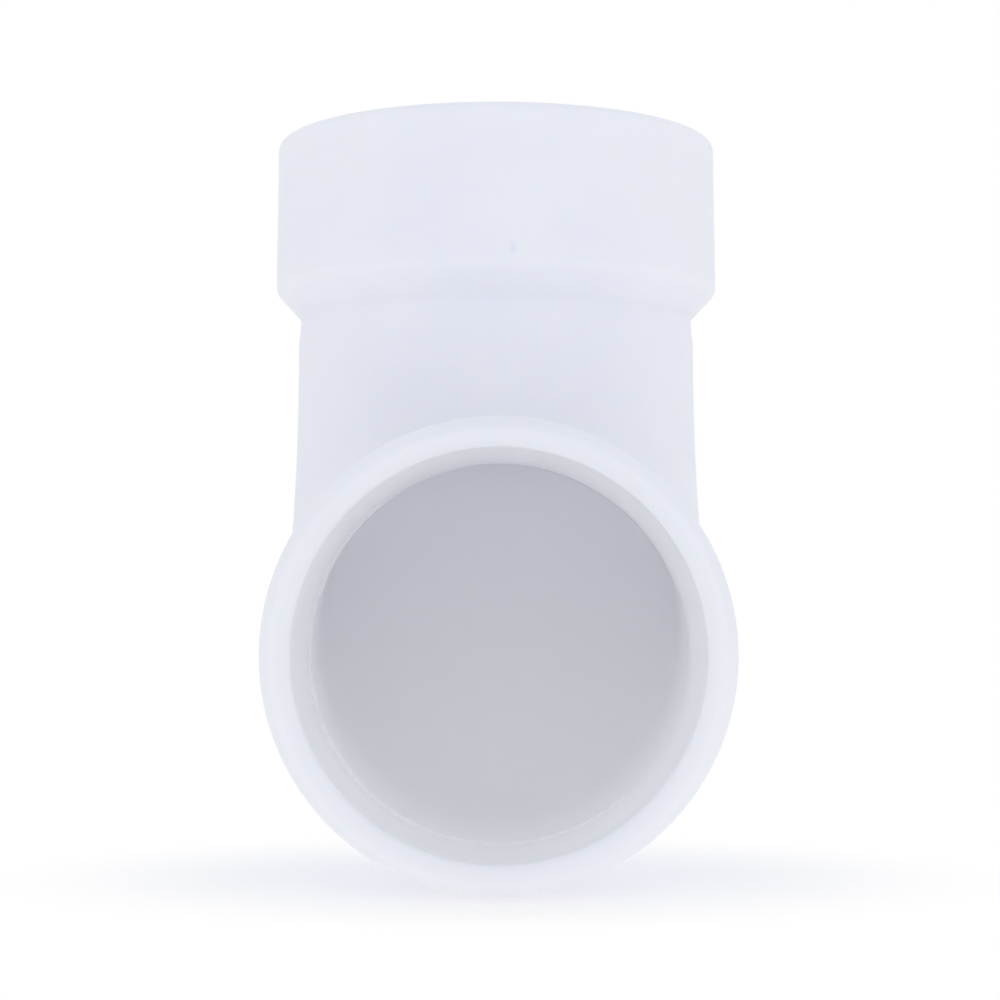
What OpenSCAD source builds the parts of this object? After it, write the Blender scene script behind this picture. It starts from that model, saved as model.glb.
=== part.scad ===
// Street elbow, 90 degrees: a plain spigot end and a solvent-cement socket (the hub) in one moulding.
// Millimetres. The origin is the middle of the ring inside the hub where the pipe stops.
// The hub opens towards +Z, the spigot points towards -Y, and the part is the same on both sides of X = 0.
// The run is built up from lengths along it, so a change to one of them moves everything beyond it.

/* [Pipe] */
// Outside diameter of the pipe that the hub takes, which is also the spigot's own
pipe_od = 60.325; // [42:0.025:90]
// Wall of the spigot
wall = 4.16; // [3.2:0.02:7]
// Gap all round between the pipe and the wall of the socket
socket_gap = 0.13; // [0.06:0.01:0.4]

/* [Hub] */
// How far the pipe goes into the socket
socket_depth = 21; // [12:0.1:32]
// Wall of the socket at its rim
hub_wall = 3.9; // [3:0.02:8]
// How much the outside of the hub grows from the rim down to the ridge, on radius
hub_draft = 0.25; // [0.05:0.05:0.8]
// Distance from the ring where the pipe stops down to the ridge
ridge_drop = 2.5; // [1:0.1:6]
// Height of the sloping shoulder between the ridge and the neck
shoulder_height = 4.2; // [2.5:0.1:8]
// Straight neck between the shoulder and the bend
neck_length = 4; // [2:0.1:15]
// Rounding of the ridge
ridge_round = 2; // [0.4:0.1:2.5]
// Rounding of the hollow between the shoulder and the neck
neck_round = 1.8; // [0.4:0.1:2.5]
// Rounding of the outer edge of the rim
rim_round = 1.3; // [0.3:0.1:1.8]
// Width of the lead-in at the mouth of the socket
lead_in = 0.8; // [0.3:0.05:1.4]
// Depth of the lead-in, down the socket
lead_in_depth = 1.6; // [0.6:0.1:3]
// Rounding of the inner edge of the ring where the pipe stops
ledge_round = 0.5; // [0.2:0.05:1]

/* [Bend] */
// How much bigger the body is than the spigot, on radius
body_step = 0.75; // [0.3:0.05:3]
// How much the neck narrows from the body, on radius
neck_taper = 0.45; // [0.05:0.05:0.7]
// Space left in the crook of the elbow: radius of the body's own surface there
crook_radius = 17.1; // [6:0.1:60]
// Step left inside where the core of the bend met the straight cores, on radius
core_step = 0.15; // [0.05:0.05:0.5]

/* [Spigot] */
// Length of the spigot that goes into the next fitting
spigot_length = 22; // [12:0.5:40]
// Length of the slope from the spigot up to the body
step_slope = 1; // [0.4:0.1:3]
// Straight body between that slope and the bend
body_length = 6.8; // [2:0.1:25]
// Depth of the bevel round the end of the spigot, on radius
bevel_depth = 1.45; // [0.4:0.05:2]
// Length of that bevel along the spigot
bevel_length = 2.6; // [1:0.1:5]
// Rounding of the edges of the bevel
bevel_round = 1; // [0.2:0.1:1.6]
// Rounding of the inner edge of the spigot
mouth_round = 0.6; // [0.2:0.05:1]

/* [Hidden] */
$fn = 160;

quarter = 90;
spigot_r = pipe_od / 2;
bore_r = spigot_r - wall;
bend_bore_r = bore_r - core_step;
body_r = spigot_r + body_step;
neck_r = body_r - neck_taper;
socket_r = spigot_r + socket_gap;
rim_r = socket_r + hub_wall;
ridge_r = rim_r + hub_draft;

// Roundings never take more than this share of the flat that is left for them
flat_share = 0.8;
rim_round_r = min(rim_round, flat_share * (hub_wall - lead_in));
mouth_round_r = min(mouth_round, flat_share * (wall - bevel_depth));

// How far a rounding's piece runs past its flats, and how far its arc crosses them
past = 0.2;
bite = 0.0005;

// Lengths along the run
bend_r = body_r + crook_radius;
hub_leg = ridge_drop + shoulder_height + neck_length;
spigot_leg = body_length + step_slope + spigot_length;
// Pipe stop to the spigot's axis, and hub axis to the spigot's face
stop_height = hub_leg + bend_r;
spigot_reach = spigot_leg + bend_r;

// Unit vector from one point towards another
function towards(p, q) = (q - p) / norm(q - p);
// Half the angle at corner p between its neighbours a and b
function half_angle(p, a, b) = acos(towards(p, a) * towards(p, b)) / 2;

// The piece of a corner outside an arc of radius r: cut away to round the corner, or added to fill it.
// It runs a little past the flats, and the arc crosses them instead of only touching them.
module corner(p, a, b, r) {
    half = half_angle(p, a, b);
    reach = r / tan(half);
    middle = p + towards([0, 0], towards(p, a) + towards(p, b)) * r / sin(half);
    outer = [for (q = [p + towards(p, a) * reach, p, p + towards(p, b) * reach]) q + towards(middle, q) * past];
    difference() {
        polygon([middle, outer[0], outer[1], outer[2]]);
        translate(middle) circle(r + bite);
    }
}

// Corners of the hub's section, as [radius, height above the pipe stop]
hub_base = [body_r, -hub_leg];
neck_top = [neck_r, -ridge_drop - shoulder_height];
ridge = [ridge_r, -ridge_drop];
rim = [rim_r, socket_depth];
rim_inside = [socket_r + lead_in, socket_depth];
lead_in_end = [socket_r, socket_depth - lead_in_depth];
ledge_outside = [socket_r, 0];
ledge_inside = [bore_r, 0];
hub_bore_end = [bore_r, -hub_leg];

// Hub, shoulder and neck, from the rim down to the start of the bend
module hub_end() {
    rotate_extrude() {
        difference() {
            union() {
                polygon([hub_base, neck_top, ridge, rim, rim_inside, lead_in_end, ledge_outside, ledge_inside,
                    hub_bore_end]);
                corner(neck_top, hub_base, ridge, neck_round);
            }
            corner(ridge, neck_top, rim, ridge_round);
            corner(rim, ridge, rim_inside, rim_round_r);
            corner(ledge_inside, ledge_outside, hub_bore_end, ledge_round);
        }
    }
}

// The quarter turn between the two straight legs
module bend() {
    translate([0, -bend_r, -hub_leg]) rotate([-quarter, 0, quarter]) rotate_extrude(angle = quarter) {
        translate([bend_r, 0]) difference() {
            circle(body_r);
            circle(bend_bore_r);
        }
    }
}

// Corners of the spigot's section, as [radius, distance out from the bend]
spigot_base = [body_r, 0];
step_top = [body_r, body_length];
step_foot = [spigot_r, body_length + step_slope];
bevel_start = [spigot_r, spigot_leg - bevel_length];
bevel_end = [spigot_r - bevel_depth, spigot_leg];
mouth = [bore_r, spigot_leg];
spigot_bore_end = [bore_r, 0];

// Body and spigot, from the end of the bend to the spigot's face
module spigot_end() {
    translate([0, -bend_r, -stop_height]) rotate([quarter, 0, 0]) rotate_extrude() {
        difference() {
            polygon([spigot_base, step_top, step_foot, bevel_start, bevel_end, mouth, spigot_bore_end]);
            corner(bevel_start, step_foot, bevel_end, bevel_round);
            corner(bevel_end, bevel_start, mouth, bevel_round);
            corner(mouth, bevel_end, spigot_bore_end, mouth_round_r);
        }
    }
}

// The whole fitting, which is one moulding
module elbow() {
    color([0.89, 0.9, 0.95]) {
        hub_end();
        bend();
        spigot_end();
    }
}

elbow();
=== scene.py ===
"""Street elbow: moulded surface, material, studio and camera. Metres, in the part's own frame."""

import math

import bmesh
import bpy
from mathutils import Matrix, Vector, noise


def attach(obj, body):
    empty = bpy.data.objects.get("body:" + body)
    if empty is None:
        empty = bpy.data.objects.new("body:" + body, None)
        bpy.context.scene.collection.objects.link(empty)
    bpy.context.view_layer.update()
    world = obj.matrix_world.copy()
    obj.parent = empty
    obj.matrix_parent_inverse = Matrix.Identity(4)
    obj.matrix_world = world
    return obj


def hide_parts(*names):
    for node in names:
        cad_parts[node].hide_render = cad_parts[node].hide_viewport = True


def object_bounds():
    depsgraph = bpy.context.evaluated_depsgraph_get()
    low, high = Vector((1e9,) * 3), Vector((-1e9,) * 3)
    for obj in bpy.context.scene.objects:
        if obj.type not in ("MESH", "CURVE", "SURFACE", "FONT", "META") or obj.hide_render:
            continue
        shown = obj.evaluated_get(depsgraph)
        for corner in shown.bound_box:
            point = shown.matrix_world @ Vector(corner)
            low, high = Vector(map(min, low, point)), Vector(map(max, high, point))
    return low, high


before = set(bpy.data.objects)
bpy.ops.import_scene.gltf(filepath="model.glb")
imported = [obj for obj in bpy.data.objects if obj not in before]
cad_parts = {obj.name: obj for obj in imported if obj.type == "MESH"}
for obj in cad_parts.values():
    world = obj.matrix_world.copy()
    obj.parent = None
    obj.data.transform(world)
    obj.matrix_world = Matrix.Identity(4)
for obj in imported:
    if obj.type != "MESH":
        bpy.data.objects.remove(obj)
cad_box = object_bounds()
mm = 0.001

# ---------------------------------------------------------------- the part's sizes, in mm, as in its CAD source
SPIGOT_R, BORE_R, BEND_BORE_R = 30.1625, 26.0025, 25.8525
BODY_R, NECK_R, SOCKET_R, RIM_R, RIDGE_R = 30.9125, 30.4625, 30.2925, 34.1925, 34.4425
SOCKET_DEPTH, RIDGE_DROP, SHOULDER, HUB_LEG = 21.0, 2.5, 4.2, 10.7
BODY_LENGTH, STEP, SPIGOT_LEG = 6.8, 1.0, 29.8
BEND_R = 48.0125
LEAD_IN, LEAD_IN_DEPTH = 0.8, 1.6
BEVEL_DEPTH, BEVEL_LENGTH = 1.45, 2.6

# Moulding marks: how far the bend's core sat off centre, across and towards the crook; and the gate's mark on the hub
CORE_ACROSS, CORE_UP = 0.36, 0.25
GATE_ACROSS, GATE_UP, GATE_WIDE, GATE_HIGH, GATE_DEEP = 2.3, -0.6, 0.6, 1.2, 0.08

# ---------------------------------------------------------------- camera
FOCAL_PX = 2440.0  # of a 1000-pixel frame
CAM_AT = Vector((-1.84, -382.2, -57.2)) * mm
PITCH, YAW = math.radians(3.35), math.radians(0.37)

cam_data = bpy.data.cameras.new("Camera")
cam = bpy.data.objects.new("Camera", cam_data)
bpy.context.collection.objects.link(cam)
bpy.context.scene.camera = cam
cam_data.sensor_width = 36.0
cam_data.lens = FOCAL_PX / 1000.0 * 36.0
cam_data.clip_start = 0.01
cam_data.clip_end = 20.0
forward = Vector((math.sin(YAW) * math.cos(PITCH), math.cos(YAW) * math.cos(PITCH), math.sin(PITCH)))
cam.matrix_world = Matrix.Translation(CAM_AT) @ forward.to_track_quat("-Z", "Y").to_matrix().to_4x4()


# ---------------------------------------------------------------- the moulding, as rings along its run
def rounded(points, steps=7):
    """Points (radius, along, rounding) as a polyline with arcs, and a close ring either side of each arc."""
    out = []
    for i, (r, a, size) in enumerate(points):
        p = Vector((r, a))
        if not size:
            out.append(p)
            continue
        u = (Vector(points[i - 1][:2]) - p).normalized()
        v = (Vector(points[i + 1][:2]) - p).normalized()
        half = u.angle(v) / 2
        reach = size / math.tan(half)
        middle = p + (u + v).normalized() * size / math.sin(half)
        first, last = p + u * reach, p + v * reach
        out.append(first + u * 0.06)
        turn = (first - middle).angle(last - middle)
        side = 1 if (first - middle).cross(last - middle) > 0 else -1
        for k in range(steps + 1):
            t = side * turn * k / steps
            d = first - middle
            out.append(middle + Vector((d.x * math.cos(t) - d.y * math.sin(t), d.x * math.sin(t) + d.y * math.cos(t))))
        out.append(last + v * 0.06)
    return out


def spread(points, longest):
    """The same polyline with no step longer than this."""
    out = [points[0]]
    for p in points[1:]:
        n = max(1, math.ceil((p - out[-1]).length / longest))
        q = out[-1].copy()
        out += [q.lerp(p, k / n) for k in range(1, n + 1)]
    return out


def hub_ring(r, down):
    return Vector((0, 0, -down)), Vector((0, -1, 0)), r


def bend_ring(r, turn, across=0.0, up=0.0):
    n = Vector((0, -math.cos(turn), math.sin(turn)))
    return Vector((across, -BEND_R, -HUB_LEG)) - n * (BEND_R - up), n, r


def spigot_ring(r, out):
    return Vector((0, -BEND_R - out, -HUB_LEG - BEND_R)), Vector((0, 0, 1)), r


BEND_STEPS = 56
hub_outside = rounded([
    (RIM_R - 2.0, -SOCKET_DEPTH, 0), (RIM_R, -SOCKET_DEPTH, 1.3), (RIDGE_R, RIDGE_DROP, 2.0),
    (NECK_R, RIDGE_DROP + SHOULDER, 1.8), (BODY_R, HUB_LEG, 0)])
spigot_outside = rounded([
    (BODY_R, 0, 0), (BODY_R, BODY_LENGTH, 0.25), (SPIGOT_R, BODY_LENGTH + STEP, 0.25),
    (SPIGOT_R, SPIGOT_LEG - BEVEL_LENGTH, 1.0), (SPIGOT_R - BEVEL_DEPTH, SPIGOT_LEG, 1.0),
    (BORE_R, SPIGOT_LEG, 0.4), (BORE_R, 0, 0)])
hub_inside = rounded([
    (BORE_R, HUB_LEG, 0), (BORE_R, 0, 0.5), (SOCKET_R, 0, 0.2), (SOCKET_R, LEAD_IN_DEPTH - SOCKET_DEPTH, 0.6),
    (SOCKET_R + LEAD_IN, -SOCKET_DEPTH, 0.25), (RIM_R - 2.0, -SOCKET_DEPTH, 0)])

gate_rings = [-GATE_UP + GATE_HIGH * k / 5 for k in range(-7, 8)]
wall_rings = [p for p in spread(hub_outside, 2.0)]
slope = (RIDGE_R - RIM_R) / (RIDGE_DROP + SOCKET_DEPTH)
wall_rings = [p for p in wall_rings if p.x < RIM_R or not gate_rings[0] - 0.1 < p.y < gate_rings[-1] + 0.1 or p.y > RIDGE_DROP - 1.5]
at = next(i for i, p in enumerate(wall_rings) if p.x > RIM_R - 0.01 and p.y > gate_rings[0])
added = [Vector((RIDGE_R - slope * (RIDGE_DROP - y), y)) for y in gate_rings if y < wall_rings[at].y - 0.1]
wall_rings[at:at] = added
rings = [hub_ring(*p) for p in wall_rings]
rings += [bend_ring(BODY_R, math.pi / 2 * k / BEND_STEPS) for k in range(1, BEND_STEPS)]
rings += [spigot_ring(*p) for p in spread(spigot_outside, 2.0)]
rings += [bend_ring(BEND_BORE_R, math.pi / 2 * (1 - k / BEND_STEPS), CORE_ACROSS, CORE_UP) for k in range(BEND_STEPS + 1)]
rings += [hub_ring(*p) for p in spread(hub_inside, 2.0)][:-1]

COLUMNS = 224
first_inside = next(i for i, ring in enumerate(rings) if ring[2] <= BORE_R + 0.001)
last_inside = max(i for i, ring in enumerate(rings) if ring[2] <= BORE_R + 0.001)
INSIDE = range(first_inside, last_inside)
LEDGES = [i for i in INSIDE if abs(rings[i][2] - rings[i + 1][2]) > 0.1]
angles = [2 * math.pi * k / COLUMNS for k in range(COLUMNS)]
gate_turn = math.acos(GATE_ACROSS / RIDGE_R)
gate_turns = [gate_turn + GATE_WIDE / RIDGE_R * k / 4 for k in range(-6, 7)]
angles = sorted([t for t in angles if abs(t - gate_turn) > abs(gate_turns[0] - gate_turn) + 0.004] + gate_turns)
COLUMNS = len(angles)


def marked(p):
    """The same point, sunk a little where the gate was broken off."""
    if p.y > 1 - RIM_R or abs(p.z - GATE_UP) > 3:
        return p
    off = math.hypot((p.x - GATE_ACROSS) / GATE_WIDE, (p.z - GATE_UP) / GATE_HIGH)
    sunk = GATE_DEEP * max(0.0, 1 - off * off) ** 1.5 - 0.25 * GATE_DEEP * math.exp(-((off - 1.15) / 0.25) ** 2)
    return p + Vector((0, sunk, 0))

mesh = bmesh.new()
grid = []
for centre, normal, r in rings:
    points = [centre + (Vector((1, 0, 0)) * math.cos(t) + normal * math.sin(t)) * r for t in angles]
    grid.append([mesh.verts.new(marked(p) * mm) for p in points])
for i, ring in enumerate(grid):
    after = grid[(i + 1) % len(grid)]
    for k in range(COLUMNS):
        mesh.faces.new((ring[k], ring[(k + 1) % COLUMNS], after[(k + 1) % COLUMNS], after[k]))
bmesh.ops.recalc_face_normals(mesh, faces=mesh.faces)
for face in mesh.faces:
    face.smooth = True
for edge in mesh.edges:
    if len(edge.link_faces) == 2 and edge.calc_face_angle() > math.radians(28):
        edge.smooth = False
body_mesh = bpy.data.meshes.new("moulding")
mesh.to_mesh(body_mesh)
mesh.free()
body = bpy.data.objects.new("moulding", body_mesh)
bpy.context.collection.objects.link(body)
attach(body, "root")
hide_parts("elbow")

# ---------------------------------------------------------------- material
def node(tree, kind, **inputs):
    made = tree.nodes.new(kind)
    for name, value in inputs.items():
        made.inputs[name.replace("_", " ")].default_value = value
    return made


def plastic(name, dull, clean, reach):
    """Rigid white PVC: nearly matt, faintly mottled, with a little light going through the wall."""
    made = bpy.data.materials.new(name)
    made.use_nodes = True
    tree = made.node_tree
    shader = tree.nodes["Principled BSDF"]
    shader.inputs["Specular IOR Level"].default_value = 0.15
    shader.inputs["IOR"].default_value = 1.46
    shader.inputs["Subsurface Weight"].default_value = 1.0
    shader.inputs["Subsurface Radius"].default_value = reach
    shader.inputs["Subsurface Scale"].default_value = 0.004
    place = tree.nodes.new("ShaderNodeTexCoord")

    # Cloudy mottle a finger's width across, and a much finer one in the sheen
    cloud = node(tree, "ShaderNodeTexNoise", Scale=55.0, Detail=3.0, Roughness=0.55)
    colour = tree.nodes.new("ShaderNodeMix")
    colour.data_type = "RGBA"
    colour.inputs[6].default_value = dull
    colour.inputs[7].default_value = clean
    spread_out = node(tree, "ShaderNodeMapRange", From_Min=0.35, From_Max=0.65)
    tree.links.new(place.outputs["Object"], cloud.inputs["Vector"])
    tree.links.new(cloud.outputs["Fac"], spread_out.inputs["Value"])
    tree.links.new(spread_out.outputs["Result"], colour.inputs[0])
    grain = node(tree, "ShaderNodeTexNoise", Scale=420.0, Detail=4.0, Roughness=0.6)
    sheen = node(tree, "ShaderNodeMapRange", From_Min=0.3, From_Max=0.7, To_Min=0.54, To_Max=0.68)
    tree.links.new(place.outputs["Object"], grain.inputs["Vector"])
    tree.links.new(grain.outputs["Fac"], sheen.inputs["Value"])
    tree.links.new(sheen.outputs["Result"], shader.inputs["Roughness"])
    relief = node(tree, "ShaderNodeBump", Strength=0.25, Distance=0.00004)
    tree.links.new(grain.outputs["Fac"], relief.inputs["Height"])
    tree.links.new(relief.outputs["Normal"], shader.inputs["Normal"])
    tree.links.new(colour.outputs[2], shader.inputs["Base Color"])
    return made


pvc = plastic("pvc", (0.882, 0.887, 0.985, 1.0), (0.904, 0.907, 1.0, 1.0), (1.0, 0.95, 0.9))
# Painted light: the bore is the same PVC in a lighter colour than the outside, so that the inside of the bend renders
# brighter
bore_painted_lighter = plastic("pvc_bore_painted_lighter", (0.965, 0.972, 0.995, 1.0), (0.98, 0.987, 1.0, 1.0), (1.0, 1.0, 1.0))

# The gate's mark is a shade darker: painted shade, standing in for the shade in its sunk dent
tree = pvc.node_tree
shader = tree.nodes["Principled BSDF"]
even = shader.inputs["Base Color"].links[0].from_socket
place = tree.nodes.new("ShaderNodeTexCoord")
shift = node(tree, "ShaderNodeVectorMath")
shift.operation = "MULTIPLY_ADD"
shift.inputs[1].default_value = (1000 / GATE_WIDE, 25.0, 1000 / GATE_HIGH)
shift.inputs[2].default_value = (-GATE_ACROSS / GATE_WIDE, 25.0 * RIDGE_R * mm, -GATE_UP / GATE_HIGH)
off = node(tree, "ShaderNodeVectorMath")
off.operation = "LENGTH"
tree.links.new(place.outputs["Object"], shift.inputs[0])
tree.links.new(shift.outputs[0], off.inputs[0])
fade = node(tree, "ShaderNodeMapRange", From_Min=0.3, From_Max=1.3, To_Min=1.0, To_Max=0.0)
fade.interpolation_type = "SMOOTHSTEP"
tree.links.new(off.outputs["Value"], fade.inputs["Value"])
painted_dent_shade = tree.nodes.new("ShaderNodeMix")
painted_dent_shade.data_type = "RGBA"
painted_dent_shade.inputs[7].default_value = (0.85, 0.87, 0.93, 1.0)
tree.links.new(fade.outputs["Result"], painted_dent_shade.inputs[0])
tree.links.new(even, painted_dent_shade.inputs[6])
tree.links.new(painted_dent_shade.outputs[2], shader.inputs["Base Color"])

# Light goes through more of the wall towards the spigot's end, where it is thinnest
tree = bore_painted_lighter.node_tree
place = tree.nodes.new("ShaderNodeTexCoord")
axes = tree.nodes.new("ShaderNodeSeparateXYZ")
tree.links.new(place.outputs["Object"], axes.inputs[0])
depth = None
for axis, start, end, first, last in (
        ("Z", -0.085, -0.02, 0.019, 0.0015), ("Y", -0.06, -0.03, 0.045, 0.0), ("Y", -0.0778, -0.06, -0.055, 0.0)):
    along = node(tree, "ShaderNodeMapRange", From_Min=start, From_Max=end, To_Min=first, To_Max=last)
    tree.links.new(axes.outputs[axis], along.inputs["Value"])
    total = node(tree, "ShaderNodeMath")
    total.use_clamp = True
    tree.links.new(along.outputs["Result"], total.inputs[0])
    total.inputs[1].default_value = 0.0
    if depth:
        tree.links.new(depth, total.inputs[1])
    depth = total.outputs[0]
tree.links.new(depth, tree.nodes["Principled BSDF"].inputs["Subsurface Scale"])

# Where the cores met the wall is cut clean, and shines. It keeps the bore's painted lighter colour.
seam = bore_painted_lighter.copy()
seam.name = "pvc_seam"
shader = seam.node_tree.nodes["Principled BSDF"]
seam.node_tree.links.remove(shader.inputs["Roughness"].links[0])
for name, value in (("Roughness", 0.3), ("IOR", 1.8), ("Specular IOR Level", 1.0), ("Coat Weight", 1.0),
                    ("Coat Roughness", 0.25), ("Coat IOR", 2.4)):
    shader.inputs[name].default_value = value

for obj in (body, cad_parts["elbow"]):
    obj.data.materials.clear()
    obj.data.materials.append(pvc)
body_mesh.materials.append(bore_painted_lighter)
body_mesh.materials.append(seam)
for k, face in enumerate(body_mesh.polygons):
    face.material_index = 2 if k // COLUMNS in LEDGES else 1 if k // COLUMNS in INSIDE else 0


# ---------------------------------------------------------------- studio
def seen_by_eye(tree):
    """1 for camera, glossy and transmission rays, 0 for the rays that light the object."""
    path = tree.nodes.new("ShaderNodeLightPath")
    total = path.outputs["Is Camera Ray"]
    for name in ("Is Glossy Ray", "Is Transmission Ray"):
        add = tree.nodes.new("ShaderNodeMath")
        add.operation = "ADD"
        add.use_clamp = True
        tree.links.new(total, add.inputs[0])
        tree.links.new(path.outputs[name], add.inputs[1])
        total = add.outputs[0]
    return total


low = cad_box[0][2]
floor_mesh = bpy.data.meshes.new("floor")
s = 3.0
floor_mesh.from_pydata([(-s, -s, 0), (s, -s, 0), (s, s, 0), (-s, s, 0)], [], [(0, 1, 2, 3)])
floor = bpy.data.objects.new("floor", floor_mesh)
floor.location.z = low - 0.0002
bpy.context.collection.objects.link(floor)
fm = bpy.data.materials.new("floor")
fm.use_nodes = True
tree = fm.node_tree
tree.nodes.clear()
out = tree.nodes.new("ShaderNodeOutputMaterial")
paper = tree.nodes.new("ShaderNodeBsdfDiffuse")
paper.inputs["Color"].default_value = (0.98, 0.98, 0.98, 1)
white = tree.nodes.new("ShaderNodeEmission")
white.inputs["Strength"].default_value = 1.0
# A light table: it glows a little, and looks whiter away from where the part touches it, where there is no shadow to keep
GLOW, NEAR, FAR = 0.5, 0.35, 1.0
place = tree.nodes.new("ShaderNodeTexCoord")
off = tree.nodes.new("ShaderNodeVectorMath")
off.operation = "DISTANCE"
off.inputs[1].default_value = (0.0, -0.033, 0.0)
tree.links.new(place.outputs["Object"], off.inputs[0])
fade = node(tree, "ShaderNodeMapRange", From_Min=0.015, From_Max=0.075, To_Min=NEAR, To_Max=FAR)
fade.interpolation_type = "SMOOTHSTEP"
tree.links.new(off.outputs["Value"], fade.inputs["Value"])
share = tree.nodes.new("ShaderNodeMix")
share.inputs["A"].default_value = GLOW
tree.links.new(fade.outputs["Result"], share.inputs["B"])
mix = tree.nodes.new("ShaderNodeMixShader")
tree.links.new(seen_by_eye(tree), share.inputs["Factor"])
tree.links.new(share.outputs["Result"], mix.inputs["Fac"])
tree.links.new(paper.outputs[0], mix.inputs[1])
tree.links.new(white.outputs[0], mix.inputs[2])
tree.links.new(mix.outputs[0], out.inputs["Surface"])
floor_mesh.materials.append(fm)

world = bpy.data.worlds.new("World")
bpy.context.scene.world = world
world.use_nodes = True
tree = world.node_tree
tree.nodes.clear()
out = tree.nodes.new("ShaderNodeOutputWorld")
mix = tree.nodes.new("ShaderNodeMixShader")
light = tree.nodes.new("ShaderNodeBackground")
seen = tree.nodes.new("ShaderNodeBackground")
light.inputs["Color"].default_value = (0.95, 0.98, 1.08, 1)
# The studio is a little brighter in front, and dimmer overhead
SIDE, FRONT, OVERHEAD = 0.715, 0.12, 0.11
way = tree.nodes.new("ShaderNodeTexCoord")
axes = tree.nodes.new("ShaderNodeSeparateXYZ")
tree.links.new(way.outputs["Generated"], axes.inputs[0])


def ramp(axis, start, end, low_value, high_value):
    node = tree.nodes.new("ShaderNodeMapRange")
    node.interpolation_type = "SMOOTHSTEP"
    tree.links.new(axes.outputs[axis], node.inputs["Value"])
    for name, value in (("From Min", start), ("From Max", end), ("To Min", low_value), ("To Max", high_value)):
        node.inputs[name].default_value = value
    return node.outputs["Result"]


level = tree.nodes.new("ShaderNodeMath")
level.operation = "SUBTRACT"
tree.links.new(ramp("Y", -1.0, 0.2, SIDE + FRONT, SIDE), level.inputs[0])
tree.links.new(ramp("Z", 0.3, 1.0, 0.0, OVERHEAD), level.inputs[1])
tree.links.new(level.outputs[0], light.inputs["Strength"])
seen.inputs["Color"].default_value = (1, 1, 1, 1)
seen.inputs["Strength"].default_value = 1.0
tree.links.new(seen_by_eye(tree), mix.inputs["Fac"])
tree.links.new(light.outputs[0], mix.inputs[1])
tree.links.new(seen.outputs[0], mix.inputs[2])
tree.links.new(mix.outputs[0], out.inputs["Surface"])


def lamp(name, at, target, size, power, color=(1, 1, 1)):
    data = bpy.data.lights.new(name, "AREA")
    data.shape = "SQUARE"
    data.size = size
    data.energy = power
    data.color = color
    obj = bpy.data.objects.new(name, data)
    bpy.context.collection.objects.link(obj)
    at, target = Vector(at), Vector(target)
    obj.matrix_world = Matrix.Translation(at) @ (target - at).to_track_quat("-Z", "Y").to_matrix().to_4x4()
    return obj


lamp("left", (-0.72, -0.42, 0.0), (0, -0.03, -0.04), 0.5, 0.42)
lamp("right", (0.72, -0.42, 0.0), (0, -0.03, -0.04), 0.5, 0.54)
lamp("behind left", (-0.3, 0.5, 0.6), (0, 0, 0), 0.5, 0.7)
lamp("behind right", (0.3, 0.5, 0.6), (0, 0, 0), 0.5, 0.7)
lamp("front", (-0.05, -0.85, 0.12), (0, -0.05, -0.06), 0.5, 0.12)

bpy.context.scene.view_settings.view_transform = "Standard"
